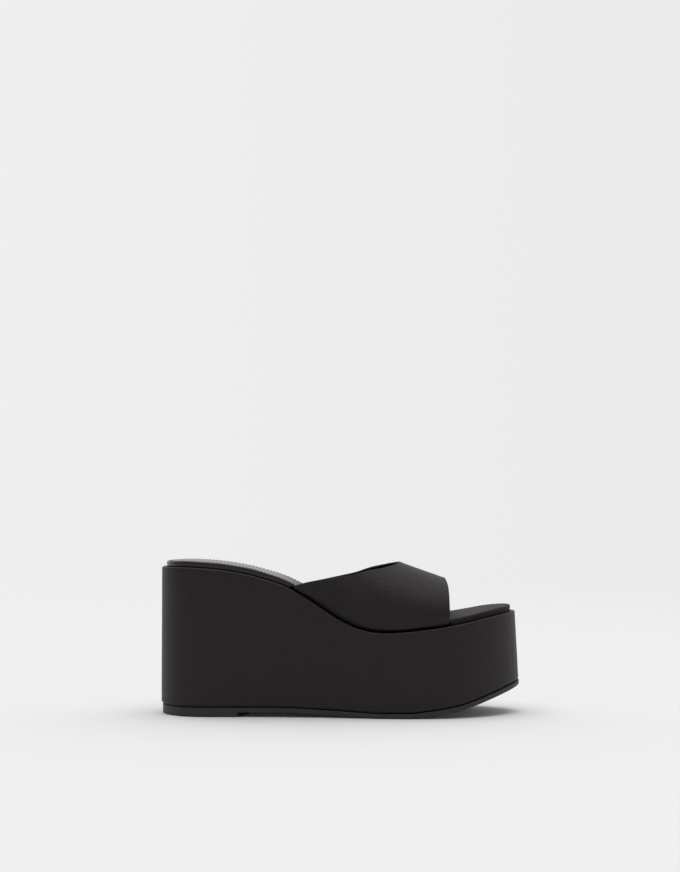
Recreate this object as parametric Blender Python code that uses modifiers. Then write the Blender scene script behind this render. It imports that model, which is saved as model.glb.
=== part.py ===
"""Platform mule, right shoe: covered wedge platform, moulded outsole, padded insole, one-piece upper.

Frame: metres, +X towards the toe, +Y towards the inner side, +Z up. The origin lies on the floor
under the middle of the heel tread. "Along" is a distance from the back of the heel.
"""

from collections import namedtuple
from math import cos, pi, sin, sqrt

import bmesh
import bpy

NAME = "platform_mule"
mm = 0.001

# Platform
LENGTH = 249.6 * mm  # back of the heel to the tip of the toe, where the platform meets the sole
HEEL_WIDTH = 66 * mm
BALL_WIDTH = 89 * mm
HEEL_HEIGHT = 102 * mm  # floor to rim at the heel
FOREPART_HEIGHT = 59 * mm  # floor to rim under the ball
TOE_RISE = 13 * mm  # rim at the toe tip above the rim under the ball
HEEL_ROUNDING = 34 * mm  # length over which the plan rounds off at the heel
TOE_ROUNDING_OUTER = 66 * mm
TOE_ROUNDING_INNER = 48 * mm
TOE_TIP_SHIFT = 5 * mm  # the tip lies this far to the inner side
WALL_LEAN_HEEL = 0.4 * mm  # how far the rim stands in from the foot of the wall
WALL_LEAN_TOE = 3 * mm
RIM_RADIUS = 1.4 * mm
FOOT_RADIUS = 2.2 * mm  # where the cover turns under

# Outsole
SOLE_THICKNESS = 3.4 * mm
HEEL_LIFT = 3.2 * mm  # extra depth of the heel tread
TOE_SPRING = 19.4 * mm  # floor to the sole's underside at the toe tip
TREAD_LENGTH = 54 * mm  # heel tread along the sides
TREAD_BOW = 8.5 * mm  # how far its front edge bows forward in the middle
TREAD_LEAN = 0.4 * mm  # draft of that front edge
SOLE_EDGE = 1 * mm  # radius of the lower edge
SOLE_TOP_EDGE = 0.5 * mm
SOLE_INSET_HEEL = 1 * mm  # the sole stands back from the wall's foot at the heel
SOLE_PROUD_TOE = 0.4 * mm  # and stands out from it at the toe

# Upper
WALL = 1.6 * mm
FOLD_RADIUS = 0.45 * mm  # folded edges of the topline and the front
UPPER_INSET = 1.4 * mm  # from the platform's rim to the outer face
TOE_OPENING = 50.2 * mm  # toe tip to front edge
VAMP_RIDGE = 33.2 * mm  # front edge to throat, along the ridge
VAMP_OUTER_SIDE = 107.5 * mm  # front edge to rear corner, along the rim
VAMP_INNER_SIDE = 101.5 * mm
THROAT_HEIGHT = 45.4 * mm  # above the rim
FRONT_HEIGHT = 29.4 * mm
RIDGE_SHIFT = 4 * mm  # the ridge lies this far to the inner side
FRONT_BOW = 0.7 * mm  # the front edge stands back this far at the ridge
MARGIN_WIDTH = 9 * mm  # lasting margin, turned in under the insole
MARGIN_TURN = 0.4 * mm  # inner radius of that turn

# Insole
INSOLE_THICKNESS = 3.6 * mm
INSOLE_EDGE = 1.4 * mm
RECESS_CLEARANCE = 1.5 * mm  # round the lasting margins that lie under the insole
RECESS_RAMP = 2.5 * mm

GAP = 0.3 * mm  # between pieces that meet

# Fullness of the curves: 2 is an ellipse, more is squarer
SECTION_FULLNESS = 2.35
HEEL_FULLNESS = 2.1
TOE_FULLNESS = 2.3

STATIONS = 60  # sections along the shoe
ROWS = 20  # of the upper, from topline to front edge
COLUMNS = 36  # of the upper, from side to side

front_edge = LENGTH - TOE_OPENING
throat = front_edge - VAMP_RIDGE
margin_turn = WALL + MARGIN_TURN
insole_inset = UPPER_INSET + WALL + GAP


def table(columns, *rows):
    row = namedtuple("row", columns)
    return [row(*values) for values in rows]


# Share of the way from heel width to ball width, and the outer side's share of the width
PLAN = table(
    "along ball outer",
    (0.00, 0.00, 0.500),
    (0.15, 0.01, 0.502),
    (0.30, -0.03, 0.521),
    (0.42, 0.05, 0.539),
    (0.55, 0.47, 0.538),
    (0.64, 0.83, 0.524),
    (0.70, 0.96, 0.511),
    (0.76, 1.00, 0.501),
    (0.84, 0.88, 0.488),
    (0.92, 0.60, 0.474),
    (1.00, 0.25, 0.457),
)

# Rim of the platform: share of the drop from heel to ball, and of the rise to the toe
RIM = table(
    "along heel toe",
    (0.000, 0.995, 0.000),
    (0.070, 1.010, 0.000),
    (0.115, 1.000, 0.000),
    (0.160, 0.980, 0.000),
    (0.205, 0.944, 0.000),
    (0.246, 0.900, 0.000),
    (0.290, 0.830, 0.000),
    (0.334, 0.749, 0.000),
    (0.378, 0.630, 0.000),
    (0.422, 0.480, 0.000),
    (0.466, 0.311, 0.000),
    (0.510, 0.160, 0.000),
    (0.554, 0.057, 0.000),
    (0.597, 0.007, 0.000),
    (0.625, 0.000, 0.000),
    (0.685, 0.000, 0.060),
    (0.728, 0.000, 0.155),
    (0.772, 0.000, 0.260),
    (0.816, 0.000, 0.395),
    (0.860, 0.000, 0.545),
    (0.906, 0.000, 0.735),
    (0.952, 0.000, 0.880),
    (1.000, 0.000, 1.000),
)

# Underside of the sole: share of the heel's lift, and of the toe spring
TREAD = table(
    "along lift spring",
    (0.000, 1.00, 0.000),
    (0.330, 1.00, 0.000),
    (0.390, 0.86, 0.000),
    (0.450, 0.62, 0.000),
    (0.500, 0.42, 0.000),
    (0.550, 0.20, 0.000),
    (0.600, 0.00, 0.000),
    (0.690, 0.00, 0.000),
    (0.740, 0.00, 0.070),
    (0.784, 0.00, 0.145),
    (0.828, 0.00, 0.255),
    (0.872, 0.00, 0.420),
    (0.916, 0.00, 0.615),
    (0.964, 0.00, 0.835),
    (1.000, 0.00, 1.000),
)

# Topline in side view, from its rear corners to the throat: share of the rise
TOPLINE = table(
    "along outer inner",
    (0.00, 0.000, 0.000),
    (0.10, 0.225, 0.170),
    (0.25, 0.340, 0.290),
    (0.52, 0.515, 0.500),
    (0.83, 0.785, 0.810),
    (1.00, 1.000, 1.000),
)


def follow(rows, column, share):
    """Value of a table's column, on a smooth curve through its rows that never overshoots them."""
    x = [row.along for row in rows]
    y = [getattr(row, column) for row in rows]
    share = min(max(share, x[0]), x[-1])
    last = len(x) - 2
    i = min(last, max(k for k in range(len(x)) if x[k] <= share))
    chords = [(y[k + 1] - y[k]) / (x[k + 1] - x[k]) for k in range(last + 1)]

    def slope(k):
        before, after = chords[max(k - 1, 0)], chords[min(k, last)]
        return 2 * before * after / (before + after) if before * after > 0 else 0

    step = x[i + 1] - x[i]
    t = (share - x[i]) / step
    rise = (3 * t**2 - 2 * t**3) * (y[i + 1] - y[i])
    leaving = t * (1 - t) ** 2 * slope(i) * step
    arriving = t**2 * (t - 1) * slope(i + 1) * step
    return y[i] + rise + leaving + arriving


def blend(start, end, share):
    return start + (end - start) * share


# The shoe's surfaces, as functions of the distance along it


def rim_height(along):
    share = along / LENGTH
    drop = (HEEL_HEIGHT - FOREPART_HEIGHT) * follow(RIM, "heel", share)
    return FOREPART_HEIGHT + drop + TOE_RISE * follow(RIM, "toe", share)


def above_rim(along, rise):
    """Height of a surface that lies over the platform's top, measured square to its slope."""
    step = 2 * mm
    slope = (rim_height(along + step) - rim_height(along - step)) / (2 * step)
    return rim_height(along) + rise * sqrt(1 + slope**2)


def tread_height(along):
    share = along / LENGTH
    return HEEL_LIFT * follow(TREAD, "lift", share) + TOE_SPRING * follow(TREAD, "spring", share)


def foot_height(along):
    """Underside of the platform."""
    return tread_height(along) + SOLE_THICKNESS + GAP


def lean(along):
    """How far the platform's rim stands in from its foot."""
    return blend(WALL_LEAN_HEEL, WALL_LEAN_TOE, (along / LENGTH) ** 2)


def rounding(distance, length, fullness):
    """Share of the full width, at a distance from a round end."""
    inward = 1 - min(max(distance / length, 0), 1)
    return (1 - inward**fullness) ** (1 / fullness)


def plan_y(along, side):
    """Foot of the platform's wall. Side is -1 on the outer side and 1 on the inner one."""
    share = along / LENGTH
    width = blend(HEEL_WIDTH, BALL_WIDTH, follow(PLAN, "ball", share))
    outer = follow(PLAN, "outer", share)
    half = width * (outer if side < 0 else 1 - outer)
    toe_length = TOE_ROUNDING_OUTER if side < 0 else TOE_ROUNDING_INNER
    heel = rounding(along, HEEL_ROUNDING, HEEL_FULLNESS)
    toe = rounding(LENGTH - along, toe_length, TOE_FULLNESS)
    return side * half * heel * toe + TOE_TIP_SHIFT * (1 - toe)


def rim_y(along, side, inset):
    """A line on the platform's top, inset from its rim, between the round ends."""
    step = 2 * mm
    slope = (plan_y(along + step, side) - plan_y(along - step, side)) / (2 * step)
    return plan_y(along, side) - side * (lean(along) + inset) * sqrt(1 + slope**2)


def ridge_height(along):
    """Top line of the last, straight over the instep from the throat to the front edge."""
    back = rim_height(throat) + THROAT_HEIGHT
    front = rim_height(front_edge) + FRONT_HEIGHT
    return blend(back, front, (along - throat) / VAMP_RIDGE)


def vamp_base(along):
    """Foot of the upper's wall, above the turn into its lasting margin."""
    return above_rim(along, GAP + margin_turn)


def vamp_point(along, angle):
    """The last's cross-section, from its outer foot at angle 0 to its inner foot at pi."""
    side = -1 if angle < pi / 2 else 1
    reach = abs(cos(angle)) ** (2 / SECTION_FULLNESS)
    lift = sin(angle) ** (2 / SECTION_FULLNESS) if 0 < angle < pi else 0
    y = blend(RIDGE_SHIFT, rim_y(along, side, UPPER_INSET), reach)
    return along, y, blend(vamp_base(along), ridge_height(along), lift)


def topline(angle):
    """Where the topline, seen from the side, meets the last at this angle of its section."""
    outer = angle < pi / 2
    corner = front_edge - (VAMP_OUTER_SIDE if outer else VAMP_INNER_SIDE)
    near, far = corner, throat
    for _ in range(30):
        along = (near + far) / 2
        share = (along - corner) / (throat - corner)
        rise = follow(TOPLINE, "outer" if outer else "inner", share)
        line = blend(vamp_base(corner), ridge_height(throat), rise)
        if vamp_point(along, angle)[2] > line:
            near = along
        else:
            far = along
    return along


# Rings and skins


def stations(*extra):
    """Distances along the shoe, close together at its round ends, with the extra ones let in."""
    even = [LENGTH * (1 - cos(pi * k / STATIONS)) / 2 for k in range(STATIONS + 1)]
    apart = 0.4 * LENGTH / STATIONS
    kept = [a for a in even if all(abs(a - b) > apart for b in extra)]
    return sorted(kept + list(extra))


def ring(along, inset, height):
    """Line round the shoe from the heel's tip: inset(station) from the wall's foot, at height(x)."""
    outer = [(a, plan_y(a, -1)) for a in along]
    inner = [(a, plan_y(a, 1)) for a in along[-2:0:-1]]
    path = outer + inner
    line = []
    for k, (a, y) in enumerate(path):
        before, after = path[k - 1], path[(k + 1) % len(path)]
        dx, dy = after[0] - before[0], after[1] - before[1]
        shift = inset(a) / sqrt(dx**2 + dy**2)
        x = a - dy * shift
        line.append((x, y + dx * shift, height(x)))
    return line


def edge_curve(radius, steps):
    """Inset and depth of points round an edge, from the wall to the flat face."""
    angles = [pi / 2 * k / steps for k in range(steps + 1)]
    return [(radius * (1 - cos(a)), radius * (1 - sin(a))) for a in angles]


def close(bm, loop, across, bow):
    """Closes a ring with rungs from side to side, their middles moved forward by bow(x)."""
    half = len(loop) // 2
    rungs = [[loop[0]]]
    for a, b in zip(loop[1:half], loop[:half:-1]):
        rung = [a]
        for j in range(1, across):
            t = j / across
            point = a.co.lerp(b.co, t)
            point.x += bow(point.x) * 4 * t * (1 - t)
            rung.append(bm.verts.new(point))
        rungs.append(rung + [b])
    rungs.append([loop[half]])
    for low, high in zip(rungs, rungs[1:]):
        for j in range(across):
            corners = [*low[j : j + 2], *reversed(high[j : j + 2])]
            if len(low) == 1:
                corners = [low[0], high[j + 1], high[j]]
            if len(high) == 1:
                corners = [low[j], low[j + 1], high[0]]
            bm.faces.new(corners)


def finish(bm, name, surface):
    """Object from a closed or open surface, its faces turned out and its origin at the heel tread."""
    bmesh.ops.translate(bm, verts=bm.verts, vec=(-TREAD_LENGTH / 2, 0, 0))
    bmesh.ops.recalc_face_normals(bm, faces=bm.faces)
    mesh = bpy.data.meshes.new(name)
    bm.to_mesh(mesh)
    bm.free()
    mesh.shade_smooth()
    mesh.set_sharp_from_angle(angle=pi / 5)
    mesh.materials.append(surface)
    piece = bpy.data.objects.new(name, mesh)
    bpy.data.collections[NAME].objects.link(piece)
    return piece


def strips(bm, lines, closed):
    """Faces between each line of points and the next."""
    for low, high in zip(lines, lines[1:]):
        for k in range(len(low) if closed else len(low) - 1):
            n = (k + 1) % len(low)
            bm.faces.new((low[k], low[n], high[n], high[k]))


def skin(name, rings, surface, across=2, bow=lambda x: 0):
    """Solid through rings, the first and the last of them closed."""
    bm = bmesh.new()
    loops = [[bm.verts.new(point) for point in line] for line in rings]
    strips(bm, loops, closed=True)
    close(bm, loops[0], across, bow)
    close(bm, loops[-1], across, lambda x: 0)
    return finish(bm, name, surface)


# The pieces


def make_outsole(surface):
    """A sheet that follows the platform's underside, with a deeper tread at the heel."""
    tread_front = TREAD_LENGTH + TREAD_LEAN
    along = stations(TREAD_LENGTH, tread_front)

    def inset(a):
        return blend(SOLE_INSET_HEEL, -SOLE_PROUD_TOE, a / LENGTH)

    def underside(x):
        return 0 if x < (TREAD_LENGTH + tread_front) / 2 else tread_height(x)

    def bow(x):
        """Most at the tread's front edge, and less on the rungs to both sides of it."""
        away = abs(x - TREAD_LENGTH) / (TREAD_LENGTH / 2)
        return TREAD_BOW * max(0, 1 - away)

    rings = []
    for edge, depth in reversed(edge_curve(SOLE_EDGE, 2)):
        rings.append(ring(along, lambda a: inset(a) + edge, lambda x: underside(x) + depth))
    for edge, depth in edge_curve(SOLE_TOP_EDGE, 1):
        rings.append(ring(along, lambda a: inset(a) + edge, lambda x: foot_height(x) - GAP - depth))
    return skin("outsole", rings, surface, across=8, bow=bow)


def make_platform(surface):
    """The covered wedge, rounded where its cover turns under at the foot and over at the rim."""
    along = stations()
    rings = []
    for edge, depth in reversed(edge_curve(FOOT_RADIUS, 3)):
        rings.append(ring(along, lambda a: edge, lambda x: foot_height(x) + depth))
    for edge, depth in edge_curve(RIM_RADIUS, 2):
        rings.append(ring(along, lambda a: lean(a) + edge, lambda x: rim_height(x) - depth))
    return skin("platform", rings, surface)


def make_insole(surface):
    """The padded footbed, with a recess underneath for the upper's lasting margins."""
    rear = front_edge - max(VAMP_OUTER_SIDE, VAMP_INNER_SIDE) - RECESS_CLEARANCE
    front = front_edge + RECESS_CLEARANCE
    along = stations(rear - RECESS_RAMP, rear, front, front + RECESS_RAMP)
    depth = WALL + GAP
    recess = UPPER_INSET + MARGIN_WIDTH + RECESS_CLEARANCE

    def recessed(x):
        inside = min(x - (rear - RECESS_RAMP), front + RECESS_RAMP - x) / RECESS_RAMP
        return above_rim(x, GAP + depth * min(max(inside, 0), 1))

    rings = [
        ring(along, lambda a: lean(a) + recess + RECESS_RAMP, lambda x: above_rim(x, GAP)),
        ring(along, lambda a: lean(a) + recess, recessed),
        ring(along, lambda a: lean(a) + insole_inset + GAP, recessed),
    ]
    radius = min(INSOLE_EDGE, 0.9 * (INSOLE_THICKNESS - depth))
    for edge, sunk in edge_curve(radius, 3):
        inset = insole_inset + edge
        rise = GAP + INSOLE_THICKNESS - sunk
        rings.append(ring(along, lambda a: lean(a) + inset, lambda x: above_rim(x, rise)))
    return skin("insole", rings, surface)


def make_upper(surface):
    """One wall over the last, open at throat and toe, with margins turned in under the insole."""

    def margin(along, side):
        """From the margin's inner edge to the foot of the wall."""
        curve = [(MARGIN_WIDTH, 0), *reversed(edge_curve(margin_turn, 3)[1:])]
        return [
            (along, rim_y(along, side, UPPER_INSET + edge), above_rim(along, GAP + rise))
            for edge, rise in curve
        ]

    angles = [pi * k / COLUMNS for k in range(COLUMNS + 1)]
    bm = bmesh.new()
    lines = []
    for row in range(ROWS + 1):
        share = row / ROWS
        line = []
        for angle in angles:
            front = front_edge - FRONT_BOW * sin(angle) ** 2
            line.append(vamp_point(blend(topline(angle), front, share), angle))
        outer = margin(line[0][0], -1)
        inner = margin(line[-1][0], 1)
        line = outer + line + inner[::-1]
        lines.append([bm.verts.new(point) for point in line])
    strips(bm, lines, closed=False)
    piece = finish(bm, "upper", surface)

    wall = piece.modifiers.new("wall", "SOLIDIFY")
    wall.thickness = WALL
    wall.offset = -1
    wall.use_even_offset = True
    wall.use_quality_normals = True
    fold = piece.modifiers.new("folded edges", "BEVEL")
    fold.limit_method = "ANGLE"
    fold.angle_limit = pi / 3
    fold.width = min(FOLD_RADIUS, 0.45 * WALL)
    fold.segments = 2
    return piece


def material(name, colour, roughness):
    surface = bpy.data.materials.new(name)
    surface.use_nodes = True
    shader = surface.node_tree.nodes["Principled BSDF"]
    shader.inputs["Base Color"].default_value = (*colour, 1)
    shader.inputs["Roughness"].default_value = roughness
    shader.inputs["Metallic"].default_value = 0
    return surface


def build():
    for item in list(bpy.data.objects):
        bpy.data.objects.remove(item)
    parts = bpy.data.collections.new(NAME)
    bpy.context.scene.collection.children.link(parts)
    make_outsole(material("black_rubber", (0.022, 0.022, 0.021), 0.6))
    make_platform(material("black_platform_cover", (0.016, 0.015, 0.015), 0.55))
    make_insole(material("black_insole_cover", (0.020, 0.018, 0.019), 0.5))
    make_upper(material("black_upper_leather", (0.017, 0.016, 0.016), 0.5))


build()
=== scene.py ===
from collections import namedtuple
from math import pi, radians

import bmesh
import bpy
import numpy as np
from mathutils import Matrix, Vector


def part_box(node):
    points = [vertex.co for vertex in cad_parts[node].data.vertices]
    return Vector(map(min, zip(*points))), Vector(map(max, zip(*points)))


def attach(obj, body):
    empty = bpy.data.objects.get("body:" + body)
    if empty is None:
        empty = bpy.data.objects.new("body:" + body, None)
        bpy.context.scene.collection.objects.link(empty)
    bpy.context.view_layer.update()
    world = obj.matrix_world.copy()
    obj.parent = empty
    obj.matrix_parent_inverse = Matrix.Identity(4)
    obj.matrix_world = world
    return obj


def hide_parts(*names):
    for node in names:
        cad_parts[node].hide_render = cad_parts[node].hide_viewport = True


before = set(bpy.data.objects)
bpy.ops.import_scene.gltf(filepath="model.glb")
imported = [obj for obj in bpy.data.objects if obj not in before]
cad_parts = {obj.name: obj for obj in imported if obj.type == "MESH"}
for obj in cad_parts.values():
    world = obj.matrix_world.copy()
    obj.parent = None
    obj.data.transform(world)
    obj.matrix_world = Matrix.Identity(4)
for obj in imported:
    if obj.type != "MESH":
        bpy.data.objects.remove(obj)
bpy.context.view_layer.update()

# Right platform mule. Lengths below are in millimetres unless a note says otherwise.
# x runs along the shoe from the back of the heel, y to the inner side of the foot, z up.
mm = 0.001

shoe = {
    "heelWidth": 66,
    "ballWidth": 89,
    "heelHeight": 102,  # floor to the platform's rim
    "forepartHeight": 59,
    "toeRise": 13,
    "heelRounding": 34,  # lengths over which the plan rounds off
    "toeRoundingOuter": 66,
    "toeRoundingInner": 48,
    "toeTipShift": 5,
    "wallLeanHeel": 0.4,
    "wallLeanToe": 2.5,
    "gap": 0.3,  # between pieces that meet
    "heelFullness": 2.1,  # 2 is an ellipse, more is squarer
    "toeFullness": 2.3,
    "stations": 260,  # sections along the shoe
    "stationGap": 0.25,  # to a station that a piece asks for
}


def nodeReach(node):  # where a solid starts and ends along the shoe
    low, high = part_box(node)
    return low[0] / mm, high[0] / mm


heelBack, toeTip = nodeReach("platform")
vampBack, vampFront = nodeReach("upper")
length = toeTip - heelBack
frontEdge = vampFront - heelBack  # of the vamp, measured from the back of the heel
outerCorner = vampBack - heelBack  # the vamp's rear corner on the outer side


def table(columns, *rows):
    row = namedtuple("row", columns)
    return [row(*values) for values in rows]


plan = table(  # share of the way from heel width to ball width, and the outer side's share
    "along ball outer",
    (0.00, 0.00, 0.500), (0.15, 0.01, 0.502), (0.30, -0.03, 0.521), (0.42, 0.05, 0.539),
    (0.55, 0.47, 0.538), (0.64, 0.83, 0.524), (0.70, 0.96, 0.511), (0.76, 1.00, 0.501),
    (0.84, 0.88, 0.488), (0.92, 0.60, 0.474), (1.00, 0.25, 0.457),
)

rim = table(  # top of the platform: share of the drop from heel to ball, and of the toe's rise
    "along heel toe",
    (0.000, 0.995, 0.000), (0.070, 1.010, 0.000), (0.115, 1.000, 0.000), (0.160, 0.980, 0.000),
    (0.205, 0.944, 0.000), (0.246, 0.900, 0.000), (0.290, 0.830, 0.000), (0.334, 0.749, 0.000),
    (0.378, 0.630, 0.000), (0.422, 0.480, 0.000), (0.466, 0.311, 0.000), (0.510, 0.160, 0.000),
    (0.554, 0.057, 0.000), (0.597, 0.007, 0.000), (0.625, 0.000, 0.000), (0.685, 0.000, 0.060),
    (0.728, 0.000, 0.155), (0.772, 0.000, 0.260), (0.816, 0.000, 0.395), (0.860, 0.000, 0.545),
    (0.906, 0.000, 0.735), (0.952, 0.000, 0.880), (1.000, 0.000, 1.000),
)

tread = table(  # underside of the sole: share of the heel's lift, and of the toe spring
    "along lift spring",
    (0.000, 1.00, 0.000), (0.330, 1.00, 0.000), (0.390, 0.86, 0.000), (0.450, 0.62, 0.000),
    (0.500, 0.42, 0.000), (0.550, 0.20, 0.000), (0.600, 0.00, 0.000), (0.690, 0.00, 0.000),
    (0.740, 0.00, 0.070), (0.784, 0.00, 0.145), (0.828, 0.00, 0.255), (0.872, 0.00, 0.420),
    (0.916, 0.00, 0.615), (0.964, 0.00, 0.835), (1.000, 0.00, 1.000),
)

topline = table(  # side view, from the rear corners to the throat: share of the rise
    "along outer inner",
    (0.00, 0.000, 0.000), (0.10, 0.145, 0.150), (0.25, 0.305, 0.280), (0.52, 0.508, 0.510),
    (0.70, 0.705, 0.724), (0.83, 0.812, 0.845), (0.93, 0.918, 0.936), (1.00, 1.000, 1.000),
)


# Shapes of the last and the wedge


def follow(rows, column, share):  # smooth curve through a column, never beyond its rows
    x = np.array([row.along for row in rows])
    y = np.array([getattr(row, column) for row in rows])
    chord = np.diff(y) / np.diff(x)
    before = np.append(chord[0], chord)
    after = np.append(chord, chord[-1])
    both = before * after > 0
    slope = np.where(both, 2 * before * after / np.where(both, before + after, 1), 0)
    share = np.clip(share, x[0], x[-1])
    i = np.clip(np.searchsorted(x, share, "right") - 1, 0, len(x) - 2)
    step = x[i + 1] - x[i]
    t = (share - x[i]) / step
    rise = (3 * t**2 - 2 * t**3) * (y[i + 1] - y[i])
    leaving = t * (1 - t) ** 2 * slope[i] * step
    return y[i] + rise + leaving + t**2 * (t - 1) * slope[i + 1] * step


def blend(start, end, share):
    return start + (end - start) * share


def smoothStep(low, high, value):
    t = np.clip((value - low) / (high - low), 0, 1)
    return t * t * (3 - 2 * t)


def bell(distance, width):
    return np.exp(-((distance / width) ** 2))


def rimHeight(x):
    drop = (shoe["heelHeight"] - shoe["forepartHeight"]) * follow(rim, "heel", x / length)
    return shoe["forepartHeight"] + drop + shoe["toeRise"] * follow(rim, "toe", x / length)


def slopeOf(curve, x):  # of a height or a width along the shoe
    step = 2
    return (curve(x + step) - curve(x - step)) / (2 * step)


def aboveRim(x, rise):  # rise is square to the slope of the platform's top
    return rimHeight(x) + rise * np.sqrt(1 + slopeOf(rimHeight, x) ** 2)


def lean(x):
    return blend(shoe["wallLeanHeel"], shoe["wallLeanToe"], (x / length) ** 2)


def rounding(distance, reach, fullness):
    inward = 1 - np.clip(distance / reach, 0, 1)
    return (1 - inward**fullness) ** (1 / fullness)


def planY(x, side):  # foot of the platform's wall, side -1 on the outer side and 1 on the inner
    width = blend(shoe["heelWidth"], shoe["ballWidth"], follow(plan, "ball", x / length))
    outer = follow(plan, "outer", x / length)
    half = width * np.where(side < 0, outer, 1 - outer)
    toeReach = np.where(side < 0, shoe["toeRoundingOuter"], shoe["toeRoundingInner"])
    heel = rounding(x, shoe["heelRounding"], shoe["heelFullness"])
    toe = rounding(length - x, toeReach, shoe["toeFullness"])
    return side * half * heel * toe + shoe["toeTipShift"] * (1 - toe)


def rimY(x, side, inset):  # inset is square to the rim in the plan
    slope = slopeOf(lambda along: planY(along, side), x)
    return planY(x, side) - side * (lean(x) + inset) * np.sqrt(1 + slope**2)


class Outline:  # closed line round the wedge, from the heel's tip along the outer side and back
    def __init__(self, *extra):
        even = length * (1 - np.cos(pi * np.linspace(0, 1, shoe["stations"] + 1))) / 2
        clear = [all(abs(a - b) > shoe["stationGap"] for b in extra) for a in even]
        self.along = np.sort(np.append(even[np.array(clear)], extra))
        back = self.along[-2:0:-1]
        self.x = np.append(self.along, back)
        self.y = np.append(planY(self.along, -1), planY(back, 1))
        dx = np.roll(self.x, -1) - np.roll(self.x, 1)
        dy = np.roll(self.y, -1) - np.roll(self.y, 1)
        size = np.hypot(dx, dy)
        self.inX, self.inY = -dy / size, dx / size
        step = np.hypot(np.diff(self.x, append=self.x[0]), np.diff(self.y, append=self.y[0]))
        self.run = np.append(0, np.cumsum(step))[:-1]  # distance round the outline

    def ring(self, inset, height):  # points at an inset from the wall's foot, height(x) gives z
        x = self.x + self.inX * inset
        return np.stack([x, self.y + self.inY * inset, height(x)], axis=1)


def waver(run, size, pitch, seed):  # slow unevenness of hand work, a sum of a few waves
    total = 0
    for k in range(1, 5):  # the fractions keep the waves out of step
        total = total + np.sin(2 * pi * run / pitch * k * 0.73 + seed * (k + 1.7)) / k
    return size * total / 2


def edgeCurve(radius, steps):  # inset and depth of points round an edge, wall to flat face
    angle = np.linspace(0, pi / 2, steps + 1)
    return list(zip(radius * (1 - np.cos(angle)), radius * (1 - np.sin(angle))))


# Meshes


def ladderCap(points, loop, across, shape):
    # rungs from side to side of a loop, where shape moves the new points and t runs across
    half = len(loop) // 2
    left = loop[1:half]
    right = loop[:half:-1]
    t = np.linspace(0, 1, across + 1)[1:-1]
    a, b = points[left][:, None, :], points[right][:, None, :]
    inner = a + (b - a) * t[None, :, None]
    if shape is not None and across > 1:
        inner = shape(inner, np.broadcast_to(t, inner.shape[:2]))
    first = len(points)
    ids = first + np.arange(inner.shape[0] * inner.shape[1]).reshape(inner.shape[:2])
    rungs = np.concatenate([left[:, None], ids, right[:, None]], axis=1)
    corners = [rungs[:-1, :-1], rungs[1:, :-1], rungs[1:, 1:], rungs[:-1, 1:]]
    quads = np.stack(corners, axis=-1)
    faces = [tuple(f) for f in quads.reshape(-1, 4).tolist()]
    for tip, rung in ((loop[0], rungs[0]), (loop[half], rungs[-1])):
        faces += [(int(tip), int(rung[j]), int(rung[j + 1])) for j in range(across)]
    return inner.reshape(-1, 3), faces


def shell(name, rings, finish, across=(1, 1), shapes=(None, None)):
    # closed mesh through rings of equal count, with a ladder cap at each end
    rings = np.asarray(rings)
    rows, count = rings.shape[:2]
    points = rings.reshape(-1, 3)
    ids = np.arange(rows * count).reshape(rows, count)
    nxt = np.roll(ids, -1, axis=1)
    quads = np.stack([ids[:-1], nxt[:-1], nxt[1:], ids[1:]], axis=-1).reshape(-1, 4)
    faces = [tuple(f) for f in quads.tolist()]
    for loop, rungs, shape in zip((ids[0], ids[-1]), across, shapes):
        inner, more = ladderCap(points, loop, rungs, shape)
        points = np.concatenate([points, inner])
        faces += more
    return meshPiece(name, points, faces, finish)


def meshPiece(name, points, faces, finish):
    points = (points + np.array([heelBack, 0, 0])) * mm
    mesh = bpy.data.meshes.new(name)
    mesh.from_pydata(points.tolist(), [], faces)
    work = bmesh.new()
    work.from_mesh(mesh)
    bmesh.ops.recalc_face_normals(work, faces=work.faces)
    work.to_mesh(mesh)
    work.free()
    mesh.shade_smooth()
    mesh.materials.append(finish)
    piece = bpy.data.objects.new(name, mesh)
    bpy.context.scene.collection.objects.link(piece)
    print("made", name, "with", len(mesh.polygons), "faces")
    return piece


def addField(piece, name, values):  # a number for each point, which a material reads by name
    field = piece.data.attributes.new(name, "FLOAT", "POINT")
    padded = np.zeros(len(piece.data.vertices))
    padded[: len(values)] = values
    field.data.foreach_set("value", padded)


# Materials


def linear(code):  # sRGB hex to the linear colour that the shader takes
    srgb = np.array([int(code[i : i + 2], 16) for i in (1, 3, 5)]) / 255
    low = srgb / 12.92
    high = ((srgb + 0.055) / 1.055) ** 2.4
    return (*np.where(srgb <= 0.04045, low, high).tolist(), 1)


def node(tree, kind, settings=None, inputs=None, links=None):
    # adds one node, with its settings, input values and incoming links
    made = tree.nodes.new(kind)
    for key, value in (settings or {}).items():
        setattr(made, key, value)
    for key, value in (inputs or {}).items():
        made.inputs[key].default_value = value
    for key, output in (links or {}).items():
        tree.links.new(output, made.inputs[key])
    return made


def newMaterial(name, roughness, ior):
    finish = bpy.data.materials.new(name)
    finish.use_nodes = True
    tree = finish.node_tree
    shader = tree.nodes["Principled BSDF"]
    shader.inputs["Roughness"].default_value = roughness
    shader.inputs["IOR"].default_value = ior
    return finish, tree, shader


def ramp(tree, value, low, high, fromLow=0.0, fromHigh=1.0):
    ends = {"From Min": fromLow, "From Max": fromHigh, "To Min": low, "To Max": high}
    made = node(tree, "ShaderNodeMapRange", {"clamp": True}, ends, {"Value": value})
    return made.outputs["Result"]


noiseSpan = (0.3, 0.7)  # nearly all of a noise texture's values lie between these


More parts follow.
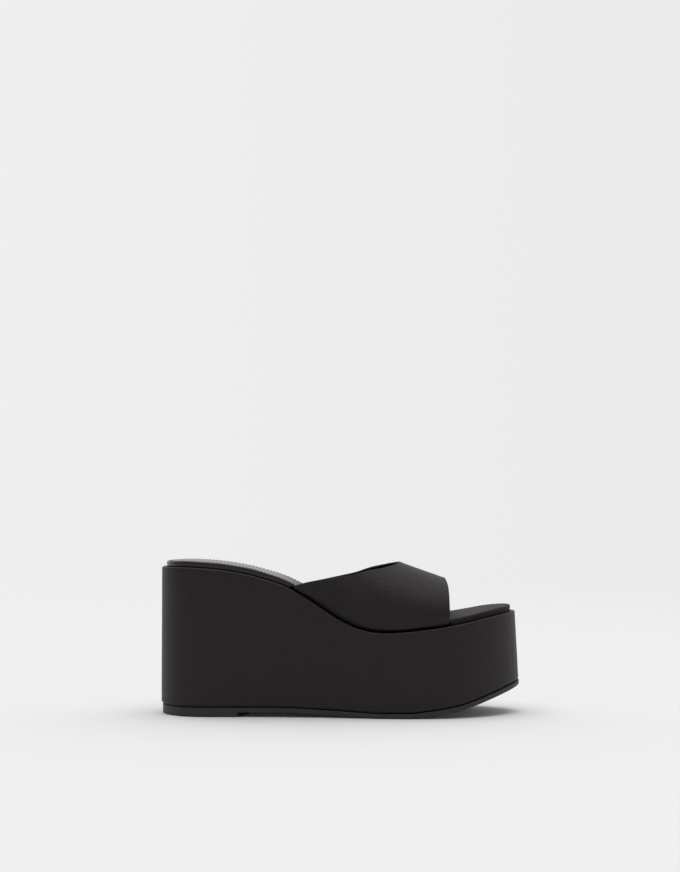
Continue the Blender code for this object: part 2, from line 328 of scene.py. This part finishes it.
def leather(name, look):
    # pebbles from the plate, fine pores between them, clouds of colour from the dye
    finish, tree, shader = newMaterial(name, look["roughness"], 1.5)
    place = node(tree, "ShaderNodeTexCoord").outputs["Object"]
    pebbles = node(
        tree, "ShaderNodeTexVoronoi", {"feature": "SMOOTH_F1"},
        {"Scale": 1 / (look["pebble"] * mm), "Smoothness": 0.35}, {"Vector": place},
    )
    pores = node(
        tree, "ShaderNodeTexNoise", {},
        {"Scale": 1 / (look["pore"] * mm), "Detail": 3.0, "Roughness": 0.6}, {"Vector": place},
    )
    clouds = node(
        tree, "ShaderNodeTexNoise", {},
        {"Scale": 1 / (look["cloud"] * mm), "Detail": 2.0}, {"Vector": place},
    )
    colours = node(
        tree, "ShaderNodeMix", {"data_type": "RGBA"},
        {"A": linear(look["dark"]), "B": linear(look["light"])},
        {"Factor": clouds.outputs["Fac"]},
    )
    tree.links.new(colours.outputs["Result"], shader.inputs["Base Color"])
    shader.inputs["Specular Tint"].default_value = (*look["tint"], 1)
    smooth = look["roughness"] - look["roughnessSpread"]
    rough = look["roughness"] + look["roughnessSpread"]
    patchy = ramp(tree, pores.outputs["Fac"], smooth, rough, *noiseSpan)
    tree.links.new(patchy, shader.inputs["Roughness"])
    grain = node(
        tree, "ShaderNodeBump", {}, {"Strength": 1.0, "Distance": look["pebbleDepth"] * mm},
        {"Height": pebbles.outputs["Distance"]},
    )
    fine = node(
        tree, "ShaderNodeBump", {}, {"Strength": 1.0, "Distance": look["poreDepth"] * mm},
        {"Height": pores.outputs["Fac"], "Normal": grain.outputs["Normal"]},
    )
    tree.links.new(fine.outputs["Normal"], shader.inputs["Normal"])
    return finish, tree, shader


coverLook = {
    "dark": "#0d090a", "light": "#120c0e", "roughness": 0.58, "roughnessSpread": 0.06,
    "tint": (1, 0.89, 0.92),  # the dye's warm cast in the gloss
    "pebble": 1.3,  # real pebbles are about 0.5 mm, drawn coarser so that they show
    "pebbleDepth": 0.17, "pore": 0.5, "poreDepth": 0.05, "cloud": 28,
}

vampLook = {
    "dark": "#0d0a0b", "light": "#120e0f", "roughness": 0.68, "roughnessSpread": 0.06,
    "tint": (1, 0.9, 0.92),
    "pebble": 1.5,  # real pebbles are about 0.6 mm, drawn coarser so that they show
    "pebbleDepth": 0.18, "pore": 0.5, "poreDepth": 0.05, "cloud": 22,
}

sockLook = {
    "dark": "#110d0e", "light": "#191314", "roughness": 0.77, "roughnessSpread": 0.05,
    "polished": 0.31,  # roughness at the heel
    "tint": (1, 0.92, 0.94),
    "pebble": 0.7, "pebbleDepth": 0.02, "pore": 0.3, "poreDepth": 0.015, "cloud": 18,
}

liningLook = {"colour": "#171414", "roughness": 0.62}

# Aniline-dyed nappa, plated smooth and sprayed matte: even, soft, with a broad low sheen
coverNappa = leather("plated_nappa_cover", coverLook)[0]
vampNappa, vampTree, vampShader = leather("soft_nappa_vamp", vampLook)
# Coated lining leather, glazed under a roller: a little glossier than the nappa
sockLeather, sockTree, sockShader = leather("glazed_lining_leather", sockLook)


def mixByField(tree, shader, socket, field, value, kind):
    # on part of the piece, by its field, the socket takes another value
    mask = node(tree, "ShaderNodeAttribute", {"attribute_name": field}).outputs["Fac"]
    before = shader.inputs[socket].links[0].from_socket
    mixed = node(tree, "ShaderNodeMix", {"data_type": kind}, {}, {"Factor": mask, "A": before})
    mixed.inputs["B"].default_value = value
    tree.links.new(mixed.outputs["Result"], shader.inputs[socket])


mixByField(sockTree, sockShader, "Roughness", "polish", sockLook["polished"], "FLOAT")
mixByField(vampTree, vampShader, "Roughness", "lining", liningLook["roughness"], "FLOAT")
mixByField(vampTree, vampShader, "Base Color", "lining", linear(liningLook["colour"]), "RGBA")

rubberLook = {
    "base": "#2a2a29", "roughness": 0.62, "ior": 1.52,
    "spark": 0.45,  # texture of a spark-eroded mould, about 0.2 mm, drawn coarser
    "sparkDepth": 0.04,
    "dust": 15,  # width of the pale clouds of bloom on the rubber
    "dustTone": (0.85, 1.2),
}


def mouldedRubber():
    # thermoplastic rubber from a spark-eroded mould: dull, with a dry even texture
    look = rubberLook
    finish, tree, shader = newMaterial("moulded_tpr", look["roughness"], look["ior"])
    place = node(tree, "ShaderNodeTexCoord").outputs["Object"]
    spark = node(
        tree, "ShaderNodeTexNoise", {},
        {"Scale": 1 / (look["spark"] * mm), "Detail": 4.0, "Roughness": 0.7}, {"Vector": place},
    )
    dust = node(
        tree, "ShaderNodeTexNoise", {},
        {"Scale": 1 / (look["dust"] * mm), "Detail": 3.0}, {"Vector": place},
    )
    tone = ramp(tree, dust.outputs["Fac"], *look["dustTone"], *noiseSpan)
    colour = node(
        tree, "ShaderNodeVectorMath", {"operation": "SCALE"},
        {"Vector": linear(look["base"])[:3]}, {"Scale": tone},
    )
    tree.links.new(colour.outputs["Vector"], shader.inputs["Base Color"])
    bump = node(
        tree, "ShaderNodeBump", {}, {"Strength": 1.0, "Distance": look["sparkDepth"] * mm},
        {"Height": spark.outputs["Fac"]},
    )
    tree.links.new(bump.outputs["Normal"], shader.inputs["Normal"])
    return finish


threadLook = {"dark": "#161515", "light": "#2a2828", "roughness": 0.45, "ior": 1.53, "twist": 0.6}


def bondedThread():
    # bonded nylon, twisted and waxed: a tight small sheen on each stitch
    look = threadLook
    finish, tree, shader = newMaterial("bonded_nylon_thread", look["roughness"], look["ior"])
    place = node(tree, "ShaderNodeTexCoord").outputs["Object"]
    twist = node(
        tree, "ShaderNodeTexWave", {"bands_direction": "DIAGONAL"},
        {"Scale": 1 / (look["twist"] * mm), "Distortion": 0.5}, {"Vector": place},
    )
    colours = node(
        tree, "ShaderNodeMix", {"data_type": "RGBA"},
        {"A": linear(look["dark"]), "B": linear(look["light"])},
        {"Factor": twist.outputs["Fac"]},
    )
    tree.links.new(colours.outputs["Result"], shader.inputs["Base Color"])
    return finish


rubber = mouldedRubber()
thread = bondedThread()
print("materials ready")


# The wedge in its cover

wedge = {
    "rimRadius": 0.95,
    "footRadius": 2.2,
    "edgeSteps": 8,
    "settle": 0.8,  # the cover lies this much lower along the forepart
    "wallRows": 34,
    "ledges": (2.5, 4, 7, 11, 16),  # rings of the top, most of them under the insole
    "underWidth": 8,
    "waver": 0.10,  # unevenness of the pulled cover
    "waverPitch": 90,
    "waverPitchAbove": 70,  # a second unevenness, which shifts on the way up
    "waverShift": 40,
    "footPinch": 0.12,  # the cover draws in a little above its lower fold
    "pinchHeight": 4,
    "pinchWidth": 3,
}

soleUnit = {
    "thickness": 3.4,
    "heelLift": 3.2,
    "toeSpring": 19.4,
    "treadLength": 54,  # heel tread along the sides
    "treadBow": 8.5,  # its front edge bows forward in the middle
    "treadLean": 0.4,
    "breast": (-0.3, 0, 0.2, 0.4, 0.7),  # sections at the tread's front edge
    "lowerEdge": 1.0,
    "upperEdge": 0.5,
    "topWidth": 8,
    "insetHeel": 1.0,
    "proudToe": 0.4,
    "sideRows": 6,
    "across": 96,
    "border": 5,  # smooth border round the tread pattern
    "breastBorder": 4,
    "ribPitch": 4.2,
    "ribDepth": 0.7,
    "ribFlank": (0.62, 0.86),  # where a groove's side starts and ends, 1 is its middle
    "ribWave": 3.0,  # the ribs run in a zigzag this deep
    "ribWaveLength": 15,
}


def platformTop(x):  # of the cover
    return rimHeight(x) - wedge["settle"] * (1 - follow(rim, "heel", x / length))


def treadHeight(x):
    share = x / length
    lift = soleUnit["heelLift"] * follow(tread, "lift", share)
    return lift + soleUnit["toeSpring"] * follow(tread, "spring", share)


def footHeight(x):  # of the cover
    return treadHeight(x) + soleUnit["thickness"] + shoe["gap"]


def makeWedge():
    line = Outline()
    steps = wedge["edgeSteps"]
    loops = [line.ring(wedge["underWidth"], footHeight)]
    for inset, depth in reversed(edgeCurve(wedge["footRadius"], steps)):
        loops.append(line.ring(inset, lambda x: footHeight(x) + depth))
    foot = loops[-1][:, 2]
    wallLean = lean(line.x)
    brow = line.ring(wallLean, lambda x: platformTop(x) - wedge["rimRadius"])[:, 2]
    uneven = waver(line.run, wedge["waver"], wedge["waverPitch"], 1.0)
    for t in np.linspace(0, 1, wedge["wallRows"] + 1)[1:-1]:
        height = blend(foot, brow, t)
        shifted = line.run + wedge["waverShift"] * t
        swell = waver(shifted, wedge["waver"], wedge["waverPitchAbove"], 2.3) + uneven
        pinch = bell(height - foot - wedge["pinchHeight"], wedge["pinchWidth"])
        inset = wallLean * t + np.sin(pi * t) * swell + wedge["footPinch"] * pinch
        loops.append(line.ring(inset, lambda x: height))
    for inset, depth in edgeCurve(wedge["rimRadius"], steps):
        loops.append(line.ring(wallLean + inset, lambda x: platformTop(x) - depth))
    for inset in wedge["ledges"]:
        loops.append(line.ring(wallLean + inset, platformTop))
    piece = shell("wedge_cover", loops, coverNappa)
    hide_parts("platform")
    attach(piece, "root")
    return piece


# The moulded sole


def makeSole():
    tip = soleUnit["treadLength"]
    line = Outline(*[tip + step for step in soleUnit["breast"]])
    inset = blend(soleUnit["insetHeel"], -soleUnit["proudToe"], line.x / length)

    def underside(x):
        slack = 0.05
        return treadHeight(x) * smoothStep(tip - slack, tip + soleUnit["treadLean"] + slack, x)

    def top(x):
        return footHeight(x) - shoe["gap"]

    loops = []
    for edge, depth in reversed(edgeCurve(soleUnit["lowerEdge"], 5)):
        loops.append(line.ring(inset + edge, lambda x: underside(x) + depth))
    low = loops[-1][:, 2]
    high = top(loops[-1][:, 0]) - soleUnit["upperEdge"]
    for t in np.linspace(0, 1, soleUnit["sideRows"] + 1)[1:-1]:
        loops.append(line.ring(inset, lambda x: blend(low, high, t)))
    for edge, depth in edgeCurve(soleUnit["upperEdge"], 3):
        loops.append(line.ring(inset + edge, lambda x: top(x) - depth))
    loops.append(line.ring(inset + soleUnit["topWidth"], top))

    def patterned(points, t):  # zigzag ribs inside a smooth border, on heel and forepart
        x, y = points[..., 0].copy(), points[..., 1]
        z = underside(x)
        width = np.linalg.norm(points[:, -1] - points[:, 0], axis=1)[:, None]
        side = np.minimum(t, 1 - t) * width
        ends = np.minimum(x, length - x)
        breast = np.abs(x - tip - soleUnit["treadLean"] / 2)
        border, breastBorder = soleUnit["border"], soleUnit["breastBorder"]
        inside = smoothStep(border, border + 1, side) * smoothStep(border, border + 1, ends)
        inside = inside * smoothStep(breastBorder, breastBorder + 1, breast)
        phase = np.abs((y / soleUnit["ribWaveLength"]) % 1 - 0.5) * 2 * soleUnit["ribWave"]
        wave = np.abs(((x + phase) / soleUnit["ribPitch"]) % 1 - 0.5) * 2
        groove = smoothStep(*soleUnit["ribFlank"], wave)
        points = points.copy()
        points[..., 2] = z + soleUnit["ribDepth"] * groove * inside
        bow = soleUnit["treadBow"] * np.clip(1 - np.abs(x - tip) / (tip / 2), 0, 1)
        points[..., 0] = x + bow * 4 * t * (1 - t)
        return points

    piece = shell("sole_unit", loops, rubber, (soleUnit["across"], 1), (patterned, None))
    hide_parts("outsole")
    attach(piece, "root")
    return piece


# The vamp

vamp = {
    "wall": 1.6,
    "inset": 1.4,  # from the platform's rim to the outer face
    "ridge": 33.2,  # front edge to throat
    "innerSide": 101.5,  # front edge to the inner rear corner
    "throatHeight": 45.4,
    "frontHeight": 29.4,
    "ridgeShift": 4,
    "frontReach": 0.5,
    "frontBow": 1.2,  # the front edge draws back towards the ridge
    "marginWidth": 9,
    "marginTurn": 0.4,
    "fullness": 2.35,
    "rows": 96,
    "columns": 150,
    "foldWidth": 8.5,  # of the hem that is turned in and glued
    "foldStep": 0.06,
    "foldBead": 0.12,
    "foldBlend": 3,
    "beadWidth": 1.3,
    "footRoll": 0.12,  # the leather swells a little where it bends over the last's edge
    "footRollAt": 9,
    "footRollWidth": 4,
    "footTuckCorner": 0.7,  # and draws in under itself at the seam, most at the waist
    "footTuckWaist": 1.4,
    "footTuckFront": 0.5,
    "footTuckHeight": 4,
    "waistAfter": 15,  # the waist's tuck is full this far ahead of the rear corner
    "waistUntil": 40,  # lessens from here
    "frontFrom": 25,  # and is the front's from here, behind the front edge
    "edgeArcs": 10,
    "liningFrom": (0.53, 0.55),  # shares of the way round the wall, from the front edge
    "liningTo": (0.95, 0.97),
}

crease = {
    "bow": 1.5,  # a crease bows by this much between its ends
    "ridgeOff": 1.9,  # its ridges lie this many widths beside it
    "ridgeShare": 0.4,  # and have this share of its depth
    "fadeIn": (-0.3, 0.3),  # shares of its length
    "fadeOut": (0.7, 1.3),
}

# soft troughs, in side view, measured behind the front edge and above the forepart
creases = table(
    "side fromBack fromUp toBack toUp width depth",
    (-1, 67, 40, 50, 17, 6.0, 0.55),
    (-1, 84, 26, 74, 14, 5.0, 0.22),
    (-1, 44, 13, 10, 11, 5.5, 0.30),
    (-1, 30, 40, 6, 20, 6.5, 0.16),
    (1, 64, 40, 46, 18, 6.0, 0.50),
    (1, 78, 27, 68, 15, 5.0, 0.22),
    (1, 42, 15, 8, 10, 5.5, 0.28),
    (1, 28, 38, 8, 22, 6.5, 0.18),
)


def ridgeHeight(x):
    throat = frontEdge - vamp["ridge"]
    back = rimHeight(throat) + vamp["throatHeight"]
    front = rimHeight(frontEdge) + vamp["frontHeight"]
    return blend(back, front, (x - throat) / vamp["ridge"])


def vampBase(x):
    return aboveRim(x, shoe["gap"] + vamp["wall"] + vamp["marginTurn"])


def vampPoint(x, angle):
    side = np.where(angle < pi / 2, -1, 1)
    reach = np.abs(np.cos(angle)) ** (2 / vamp["fullness"])
    lift = np.clip(np.sin(angle), 0, 1) ** (2 / vamp["fullness"])
    y = blend(vamp["ridgeShift"], rimY(x, side, vamp["inset"]), reach)
    return np.stack([x, y, blend(vampBase(x), ridgeHeight(x), lift)], axis=-1)


def toplineAlong(angle):  # where the side view's topline meets the surface, by halving
    throat = frontEdge - vamp["ridge"]
    outer = angle < pi / 2
    corner = np.where(outer, outerCorner, frontEdge - vamp["innerSide"])
    near, far = corner, np.full(len(angle), throat)
    for _ in range(34):
        x = (near + far) / 2
        share = (x - corner) / (throat - corner)
        rise = np.where(outer, follow(topline, "outer", share), follow(topline, "inner", share))
        line = blend(vampBase(corner), ridgeHeight(throat), rise)
        above = vampPoint(x, angle)[:, 2] > line
        near, far = np.where(above, x, near), np.where(above, far, x)
    return x


def surfaceNormal(grid):
    normal = np.cross(np.gradient(grid, axis=1), np.gradient(grid, axis=0))
    return normal / np.linalg.norm(normal, axis=-1, keepdims=True)


def distanceTo(points, line):  # shortest distance from each point to a line of points
    flat = points.reshape(-1, 3)
    best = np.full(len(flat), np.inf)
    for target in line:
        best = np.minimum(best, ((flat - target) ** 2).sum(axis=1))
    return np.sqrt(best).reshape(points.shape[:-1])


def makeVamp():
    angle = np.linspace(0, pi, vamp["columns"] + 1)
    rear = toplineAlong(angle)
    front = frontEdge + vamp["frontReach"] - vamp["frontBow"] * np.sin(angle) ** 8
    fold = vamp["wall"] / 2
    share = np.linspace(0, 1, vamp["rows"] + 1)[:, None]
    x = blend(rear + fold, front - fold, share)
    face = vampPoint(x, np.broadcast_to(angle, x.shape))

    def margin(along, side):  # from the margin's inner edge to the foot of the wall
        turn = vamp["wall"] + vamp["marginTurn"]
        flat = [(w, 0) for w in np.linspace(vamp["marginWidth"], turn + 1, 4)]
        lines = []
        for w, rise in flat + edgeCurve(turn, 6)[:0:-1]:
            y = rimY(along, side, vamp["inset"] + w)
            lines.append(np.stack([along, y, aboveRim(along, shoe["gap"] + rise)], axis=-1))
        return lines

    outer = np.stack(margin(x[:, 0], -1), axis=1)
    inner = np.stack(margin(x[:, -1], 1)[::-1], axis=1)
    face = np.concatenate([outer, face, inner], axis=1)
    normal = surfaceNormal(face)
    middle = np.array([face[..., 0].mean(), vamp["ridgeShift"], rimHeight(frontEdge)])
    if (normal[:, len(angle) // 2] * (face[:, len(angle) // 2] - middle)).sum() < 0:
        normal = -normal

    # turned hem, a little thicker to its edge, with a fine bead at the fold
    edgeGap = np.minimum(distanceTo(face, face[0, ::2]), distanceTo(face, face[-1, ::2]))
    foldWidth, foldBlend = vamp["foldWidth"], vamp["foldBlend"]
    hem = 1 - smoothStep(foldWidth - foldBlend, foldWidth + foldBlend, edgeGap)
    lift = vamp["foldStep"] * hem + vamp["foldBead"] * bell(edgeGap, vamp["beadWidth"])

    # each crease is a trough with a low ridge on both sides
    side = np.where(face[..., 1] < vamp["ridgeShift"], -1, 1)
    back, up = frontEdge - face[..., 0], face[..., 2] - shoe["forepartHeight"]
    for row in creases:
        runBack, runUp = row.toBack - row.fromBack, row.toUp - row.fromUp
        span = np.hypot(runBack, runUp)
        t = ((back - row.fromBack) * runBack + (up - row.fromUp) * runUp) / span**2
        off = ((back - row.fromBack) * runUp - (up - row.fromUp) * runBack) / span
        off = off + crease["bow"] * np.sin(pi * np.clip(t, 0, 1))
        fade = smoothStep(*crease["fadeIn"], t) * (1 - smoothStep(*crease["fadeOut"], t))
        fade = fade * (side == row.side)
        apart = crease["ridgeOff"] * row.width
        ridges = bell(off - apart, row.width) + bell(off + apart, row.width)
        lift = lift - row.depth * fade * (bell(off, row.width) - crease["ridgeShare"] * ridges)

    # the wall's foot rolls out and then tucks in under itself, the margin stays flat
    columns = outer.shape[1]
    place = np.minimum(np.arange(face.shape[1]), np.arange(face.shape[1])[::-1])
    along = face[..., 0]
    height = face[..., 2] - vampBase(along)
    roll = vamp["footRoll"] * bell(height - vamp["footRollAt"], vamp["footRollWidth"])
    waist = smoothStep(outerCorner, outerCorner + vamp["waistAfter"], along)
    forward = smoothStep(outerCorner + vamp["waistUntil"], frontEdge - vamp["frontFrom"], along)
    tuck = blend(vamp["footTuckCorner"], vamp["footTuckWaist"], waist)
    tuck = blend(tuck, vamp["footTuckFront"], forward)
    foot = tuck * np.clip(1 - np.clip(height, 0, None) / vamp["footTuckHeight"], 0, 1) ** 2
    turned = smoothStep(columns - 7, columns - 4.5, place)
    lift = (lift + roll) * smoothStep(columns, columns + 8, place) - foot * turned
    outside = face + normal * lift[..., None]
    inside = face - normal * vamp["wall"]

    # round edges, half circles from face to face at the topline and the front
    loops = []
    edgeTurns = np.linspace(0, pi, vamp["edgeArcs"] + 1)[1:-1]
    for c in range(face.shape[1]):
        ends = []
        for row, beyond in ((-1, -2), (0, 1)):
            a, b = outside[row, c], inside[row, c]
            centre = (a + b) / 2
            out = outside[row, c] - outside[beyond, c]
            across = (a - b) / 2
            out = out - across * (out @ across) / (across @ across)
            out = out / np.linalg.norm(out) * np.linalg.norm(across)
            ends.append([centre + across * np.cos(w) + out * np.sin(w) for w in edgeTurns])
        frontArc, rearArc = ends
        loop = list(outside[:, c]) + frontArc + list(inside[::-1, c]) + rearArc[::-1]
        loops.append(np.roll(np.array(loop), len(edgeTurns) // 2, axis=0))
    piece = shell("vamp_upper", loops, vampNappa)
    around = np.linspace(0, 1, len(loops[0]), endpoint=False)
    lining = smoothStep(*vamp["liningFrom"], around) * (1 - smoothStep(*vamp["liningTo"], around))
    addField(piece, "lining", np.tile(lining, len(loops)))
    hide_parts("upper")
    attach(piece, "root")
    return piece


# The padded insole

insole = {
    "thickness": 3.6,
    "edge": 0.9,
    "tuck": 0.25,  # the wrapped side draws in under the insole
    "crown": 0.15,
    "crownWidth": 25,
    "heelTilt": 0.6,  # at the heel the outer edge stands this much higher, the inner one lower
    "tiltHalf": 30,  # from the middle to where it does
    "tiltEnds": (60, 110),
    "across": 30,
    "polishEnds": (75, 125),  # the sock is glazed at the heel and runs matte under the vamp
    "stitchInset": 1.8,
    "stitchPitch": 2.6,
    "stitchLength": 1.8,
    "stitchRadius": 0.3,
    "stitchDip": 0.3,  # its ends go down into the sock
    "stitchSlices": 6,
    "stitchSides": 8,
    "stitchSink": 0.12,
    "sinkWidth": 0.55,
    "seamRings": (-0.7, -0.45, -0.2, 0, 0.2, 0.45, 0.7, 1.1, 1.8, 3, 5, 7.5, 10),
    "recessClearance": 0.5,
    "recessRamp": 1.5,
}


def insoleRise(inset):  # the insole's top above the platform's, by distance from its edge
    top = insole["thickness"] - insole["crown"] + shoe["gap"]
    bulge = rounding(inset, insole["edge"], 2)
    crown = insole["crown"] * (1 - (1 - np.clip(inset / insole["crownWidth"], 0, 1)) ** 2)
    groove = insole["stitchSink"] * bell(inset - insole["stitchInset"], insole["sinkWidth"])
    return top - insole["edge"] * (1 - bulge) + crown - groove


def tiltHeel(piece):  # tilts the top at the heel and leaves the underside as it is
    points = np.empty(len(piece.data.vertices) * 3)
    piece.data.vertices.foreach_get("co", points)
    points = points.reshape(-1, 3)
    x, y, z = points.T / mm
    along = x - heelBack
    upper = np.clip((z - aboveRim(along, shoe["gap"])) / insole["thickness"], 0, 1)
    heel = 1 - smoothStep(*insole["tiltEnds"], along)
    points[:, 2] -= insole["heelTilt"] * heel * upper * y / insole["tiltHalf"] * mm
    piece.data.vertices.foreach_set("co", points.ravel())
    return points


def makeInsole():
    gap = shoe["gap"]
    rearOuter = outerCorner - insole["recessClearance"]
    rearInner = frontEdge - vamp["innerSide"] - insole["recessClearance"]
    frontEnd = frontEdge + insole["recessClearance"]
    slack = insole["recessRamp"]
    rears = (rearOuter - slack, rearOuter, rearInner - slack, rearInner)
    line = Outline(*rears, frontEnd, frontEnd + slack)
    rearEnd = np.where(line.y < 0, rearOuter, rearInner)
    base = lean(line.x) + vamp["inset"] + vamp["wall"] + gap
    depth = vamp["wall"] + gap
    recess = vamp["inset"] + vamp["marginWidth"] + insole["recessClearance"] + lean(line.x)

    def recessed(x):
        inside = np.minimum(x - (rearEnd - slack), frontEnd + slack - x) / slack
        inside = np.clip(inside, 0, 1)
        settled = (rimHeight(x) - platformTop(x)) * (1 - inside)
        return aboveRim(x, gap + depth * inside) - settled

    loops = [
        line.ring(recess + slack, lambda x: platformTop(x) + gap),
        line.ring(recess, recessed),
        line.ring(base + insole["tuck"] + 0.3, recessed),
    ]
    low = line.ring(base + insole["tuck"], recessed)
    side = insoleRise(0)
    for t in np.linspace(0, 1, 7):
        inset = base + insole["tuck"] * (1 - np.sin(pi / 2 * t))
        ring = line.ring(inset, lambda x: aboveRim(x, side))
        ring[:, 2] = blend(low[:, 2], np.maximum(ring[:, 2], low[:, 2] + 0.05), t)
        loops.append(ring)
    bullnose = insole["edge"] * (1 - np.cos(np.linspace(0, pi / 2, 11)[1:]))
    rows = insole["stitchInset"] + np.array(insole["seamRings"])
    for inset in (*bullnose, *rows):
        loops.append(line.ring(base + inset, lambda x: aboveRim(x, insoleRise(inset))))
    inmost = line.ring(base + inset, np.zeros_like)

    def crowned(points, t):
        points = points.copy()
        points[..., 2] = 0
        inward = inset + distanceTo(points, inmost)
        points[..., 2] = aboveRim(points[..., 0], insoleRise(inward))
        return points

    piece = shell("insole_sock", loops, sockLeather, (1, insole["across"]), (None, crowned))
    points = tiltHeel(piece)
    addField(piece, "polish", 1 - smoothStep(*insole["polishEnds"], points[:, 0] / mm - heelBack))
    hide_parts("insole")
    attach(piece, "root")
    return piece


def makeStitches():  # one row round the insole, each a thread that dips at both ends
    line = Outline()
    inset = lean(line.x) + vamp["inset"] + vamp["wall"] + shoe["gap"] + insole["stitchInset"]
    rise = insoleRise(insole["stitchInset"]) + insole["stitchRadius"] * 0.5
    path = line.ring(inset, lambda x: aboveRim(x, rise))
    path = np.concatenate([path, path[:1]])
    run = np.append(0, np.cumsum(np.linalg.norm(np.diff(path, axis=0), axis=1)))
    count = int(run[-1] / insole["stitchPitch"])
    middles = (np.arange(count) + 0.5) * run[-1] / count
    points, faces = [], []
    slices, sides = insole["stitchSlices"], insole["stitchSides"]

    def at(distance):
        return np.array([np.interp(distance % run[-1], run, path[:, k]) for k in range(3)])

    for middle in middles:
        a = at(middle - insole["stitchLength"] / 2)
        b = at(middle + insole["stitchLength"] / 2)
        direction = (b - a) / np.linalg.norm(b - a)
        sideways = np.cross(direction, (0, 0, 1))
        sideways /= np.linalg.norm(sideways)
        up = np.cross(sideways, direction)
        first = len(points)
        for s in range(slices + 1):
            t = s / slices
            end = (2 * t - 1) ** 2  # 1 at both ends of the stitch, 0 in its middle
            centre = a + (b - a) * t - up * insole["stitchDip"] * end
            radius = insole["stitchRadius"] * (0.35 + 0.65 * np.sqrt(1 - end**2))
            for k in range(sides):
                w = 2 * pi * k / sides
                points.append(centre + radius * (np.cos(w) * sideways + np.sin(w) * up))
        for s in range(slices):
            for k in range(sides):
                n = (k + 1) % sides
                row = first + s * sides
                faces.append((row + k, row + n, row + sides + n, row + sides + k))
        faces.append(tuple(first + k for k in range(sides)))
        faces.append(tuple(first + slices * sides + k for k in range(sides)))
    piece = meshPiece("insole_stitches", np.array(points), faces, thread)
    tiltHeel(piece)
    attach(piece, "root")
    return piece


makeWedge()
makeSole()
makeVamp()
makeInsole()
makeStitches()


# Studio

studio = {
    "backdrop": "#efefef", "backdropRight": "#eaeaea",
    "backdropSpan": (-0.15, 0.15),  # it turns a little darker from left to right
    "floor": "#ececec", "floorRadius": 2600, "floorCentre": 100,
    "floorGlow": 0.012,  # painted glow: the floor gives off a little light of its own, which lifts the shadows on it
    "floorFade": (500, 1500),  # where the painted floor runs out into the backdrop
    "behind": 0.95, "front": 0.225,  # light from the white wall and from the dark room
    "roomSpan": (-0.25, 0.55),
    "toeShare": 0.2,  # the white wall reaches a little further round on the toe's side
    "boxPower": 1.6, "boxAngle": 60,  # the big softbox overhead
    "boxFrom": (-0.06, -0.09, 0.99),
}


def makeStage():
    world = bpy.data.worlds.new("studio")
    bpy.context.scene.world = world
    world.use_nodes = True
    tree = world.node_tree
    tree.nodes.clear()
    heading = node(tree, "ShaderNodeTexCoord").outputs["Generated"]
    parts = node(tree, "ShaderNodeSeparateXYZ", {}, {}, {"Vector": heading})
    seen = node(
        tree, "ShaderNodeMix", {"data_type": "RGBA"},
        {"A": linear(studio["backdrop"]), "B": linear(studio["backdropRight"])},
        {"Factor": ramp(tree, parts.outputs["X"], 0, 1, *studio["backdropSpan"])},
    )
    wall = node(
        tree, "ShaderNodeBackground", {}, {"Strength": 1.0}, {"Color": seen.outputs["Result"]}
    )
    side = node(
        tree, "ShaderNodeMath", {"operation": "MULTIPLY_ADD", "use_clamp": False},
        {1: studio["toeShare"]}, {0: parts.outputs["X"], 2: parts.outputs["Y"]},
    )
    levels = studio["front"], studio["behind"]
    room = ramp(tree, side.outputs["Value"], *levels, *studio["roomSpan"])
    light = node(tree, "ShaderNodeBackground", {}, {"Color": (1, 1, 1, 1)}, {"Strength": room})
    rays = node(tree, "ShaderNodeLightPath")
    mixed = node(tree, "ShaderNodeMixShader", {}, {}, {"Fac": rays.outputs["Is Camera Ray"]})
    tree.links.new(light.outputs[0], mixed.inputs[1])
    tree.links.new(wall.outputs[0], mixed.inputs[2])
    node(tree, "ShaderNodeOutputWorld", {}, {}, {"Surface": mixed.outputs[0]})

    radius = studio["floorRadius"] * mm
    bpy.ops.mesh.primitive_circle_add(vertices=96, radius=radius, fill_type="NGON")
    floor = bpy.context.active_object
    floor.name = "floor"
    floor.location = (studio["floorCentre"] * mm, 0, 0)
    finish, tree, shader = newMaterial("painted_floor", 0.9, 1.3)
    place = node(tree, "ShaderNodeTexCoord").outputs["Object"]
    distance = node(tree, "ShaderNodeVectorMath", {"operation": "LENGTH"}, {}, {"Vector": place})
    near, far = (edge * mm for edge in studio["floorFade"])
    alpha = ramp(tree, distance.outputs["Value"], 1.0, 0.0, near, far)
    shader.inputs["Base Color"].default_value = linear(studio["floor"])
    shader.inputs["Specular IOR Level"].default_value = 0
    # painted glow: the floor emits a little light of its own, which lightens the shadows on it
    shader.inputs["Emission Color"].default_value = (1, 1, 1, 1)
    shader.inputs["Emission Strength"].default_value = studio["floorGlow"]
    tree.links.new(alpha, shader.inputs["Alpha"])
    floor.data.materials.append(finish)

    box = bpy.data.lights.new("softbox", "SUN")
    box.energy = studio["boxPower"]
    box.angle = radians(studio["boxAngle"])
    holder = bpy.data.objects.new("softbox", box)
    holder.rotation_euler = Vector(studio["boxFrom"]).to_track_quat("Z", "Y").to_euler()
    bpy.context.scene.collection.objects.link(holder)


view = {
    "focal": 2431, "frameHeight": 872,  # pixels
    "sensorHeight": 36,
    "place": (97.7, -1700, 192.9),
}


def makeCamera():  # level, square to the outer side
    camera = bpy.data.cameras.new("camera")
    camera.sensor_fit = "VERTICAL"
    camera.sensor_height = view["sensorHeight"]
    camera.lens = view["sensorHeight"] * view["focal"] / view["frameHeight"]
    holder = bpy.data.objects.new("camera", camera)
    holder.location = Vector(view["place"]) * mm
    holder.rotation_euler = (radians(90), 0, 0)
    bpy.context.scene.collection.objects.link(holder)
    bpy.context.scene.camera = holder


makeStage()
makeCamera()
bpy.context.scene.view_settings.view_transform = "Standard"
print("stage ready")
